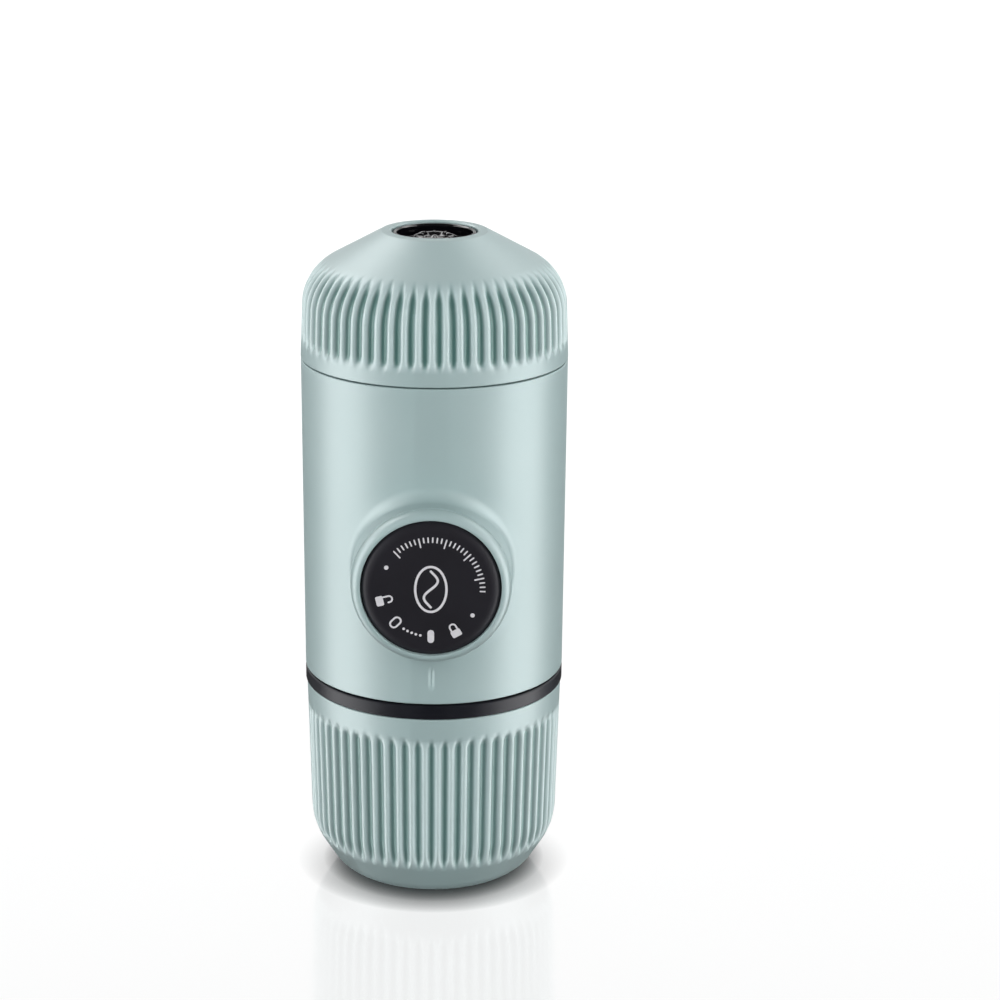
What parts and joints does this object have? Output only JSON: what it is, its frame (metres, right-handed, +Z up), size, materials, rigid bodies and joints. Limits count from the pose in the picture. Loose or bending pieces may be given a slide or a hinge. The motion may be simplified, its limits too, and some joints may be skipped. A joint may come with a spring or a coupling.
{
  "type": "handheld manual espresso maker",
  "caption": "Upright hand-pumped espresso maker: fluted water tank on top, pump body with a round push knob, black brewing flange and a fluted cup below.",
  "frame": {"origin": "centre of the cup's flat base, on the surface that the maker stands on", "axes": "+Z up along the tank, body and cup; the push knob points to -Y; +X to the right seen from the knob"},
  "size_m": [0.062, 0.071, 0.156],
  "materials": {
    "teal_plastic": "satin soft-touch",
    "black_plastic": "satin",
    "gloss_black": "gloss",
    "print": "matte print",
    "silicone": "matte",
    "steel": "brushed"
  },
  "bodies": {
    "main_body": {"body_shell": "teal_plastic", "piston_collar": "teal_plastic", "brew_head": "black_plastic", "brew_gasket": "silicone", "shower_screen": "steel", "screen_screw": "steel", "tank_socket": "black_plastic", "chassis_screws": "steel", "pump_block": "black_plastic", "pump_cylinder": "steel", "cylinder_gland": "black_plastic", "block_seals": "silicone", "inlet_valve": "silicone", "intake_strainer": "steel", "valve_spring": "steel", "valve_plug": "black_plastic"},
    "plunger": {"piston_rod": "steel", "piston_seal": "silicone", "return_spring": "steel"},
    "knob": {"knob_skirt": "black_plastic", "knob_cap": "black_plastic", "knob_marks": "print", "knob_screw": "steel"},
    "poppet": {"pressure_valve": "silicone"},
    "tank_ring": {"tank_seal": "silicone"},
    "tank": {"tank_shell": "teal_plastic", "tank_liner": "gloss_black", "tank_vent_valve": "silicone"},
    "basket": {"filter_basket": "steel"},
    "portafilter_ring": {"portafilter_seal": "silicone"},
    "portafilter": {"portafilter": "black_plastic", "cup_seal": "silicone", "spout_nozzle": "black_plastic", "nozzle_seal": "silicone"},
    "cup": {"cup": "teal_plastic"},
    "scoop": {"scoop": "black_plastic"}
  },
  "joints": [
    {"name": "piston_push", "type": "slide", "parent": "main_body", "child": "plunger", "axis": [0, -1, 0], "range_m": [0, 0.015], "deforming": ["return_spring"]},
    {"name": "knob_turn", "type": "hinge", "parent": "plunger", "child": "knob", "pos_m": [0, -0.04, 0.08235], "axis": [0, -1, 0], "range_deg": [0, 45]},
    {"name": "pressure_valve_open", "type": "slide", "parent": "main_body", "child": "poppet", "axis": [0, 0, -1], "range_m": [0, 0.0015], "stiffness_N_per_m": 400, "springref_m": -0.004, "deforming": ["valve_spring"]},
    {"name": "tank_lift", "type": "slide", "parent": "main_body", "child": "tank_ring", "axis": [0, 0, 1], "range_m": [0, 0.045]},
    {"name": "tank_turn", "type": "hinge", "parent": "tank_ring", "child": "tank", "pos_m": [0, 0, 0.126], "axis": [0, 0, -1], "range_deg": [0, 48]},
    {"name": "basket_drop", "type": "slide", "parent": "main_body", "child": "basket", "axis": [0, 0, -1], "range_m": [0, 0.03]},
    {"name": "portafilter_pull", "type": "slide", "parent": "basket", "child": "portafilter_ring", "axis": [0, 0, -1], "range_m": [0, 0.04]},
    {"name": "portafilter_turn", "type": "hinge", "parent": "portafilter_ring", "child": "portafilter", "pos_m": [0, 0, 0.05], "axis": [0, 0, 1], "range_deg": [0, 48]},
    {"name": "cup_pull", "type": "slide", "parent": "portafilter", "child": "cup", "axis": [0, 0, -1], "range_m": [0, 0.06]},
    {"name": "scoop_lift", "type": "slide", "parent": "cup", "child": "scoop", "axis": [0, 0, 1], "range_m": [0, 0.0065]}
  ]
}
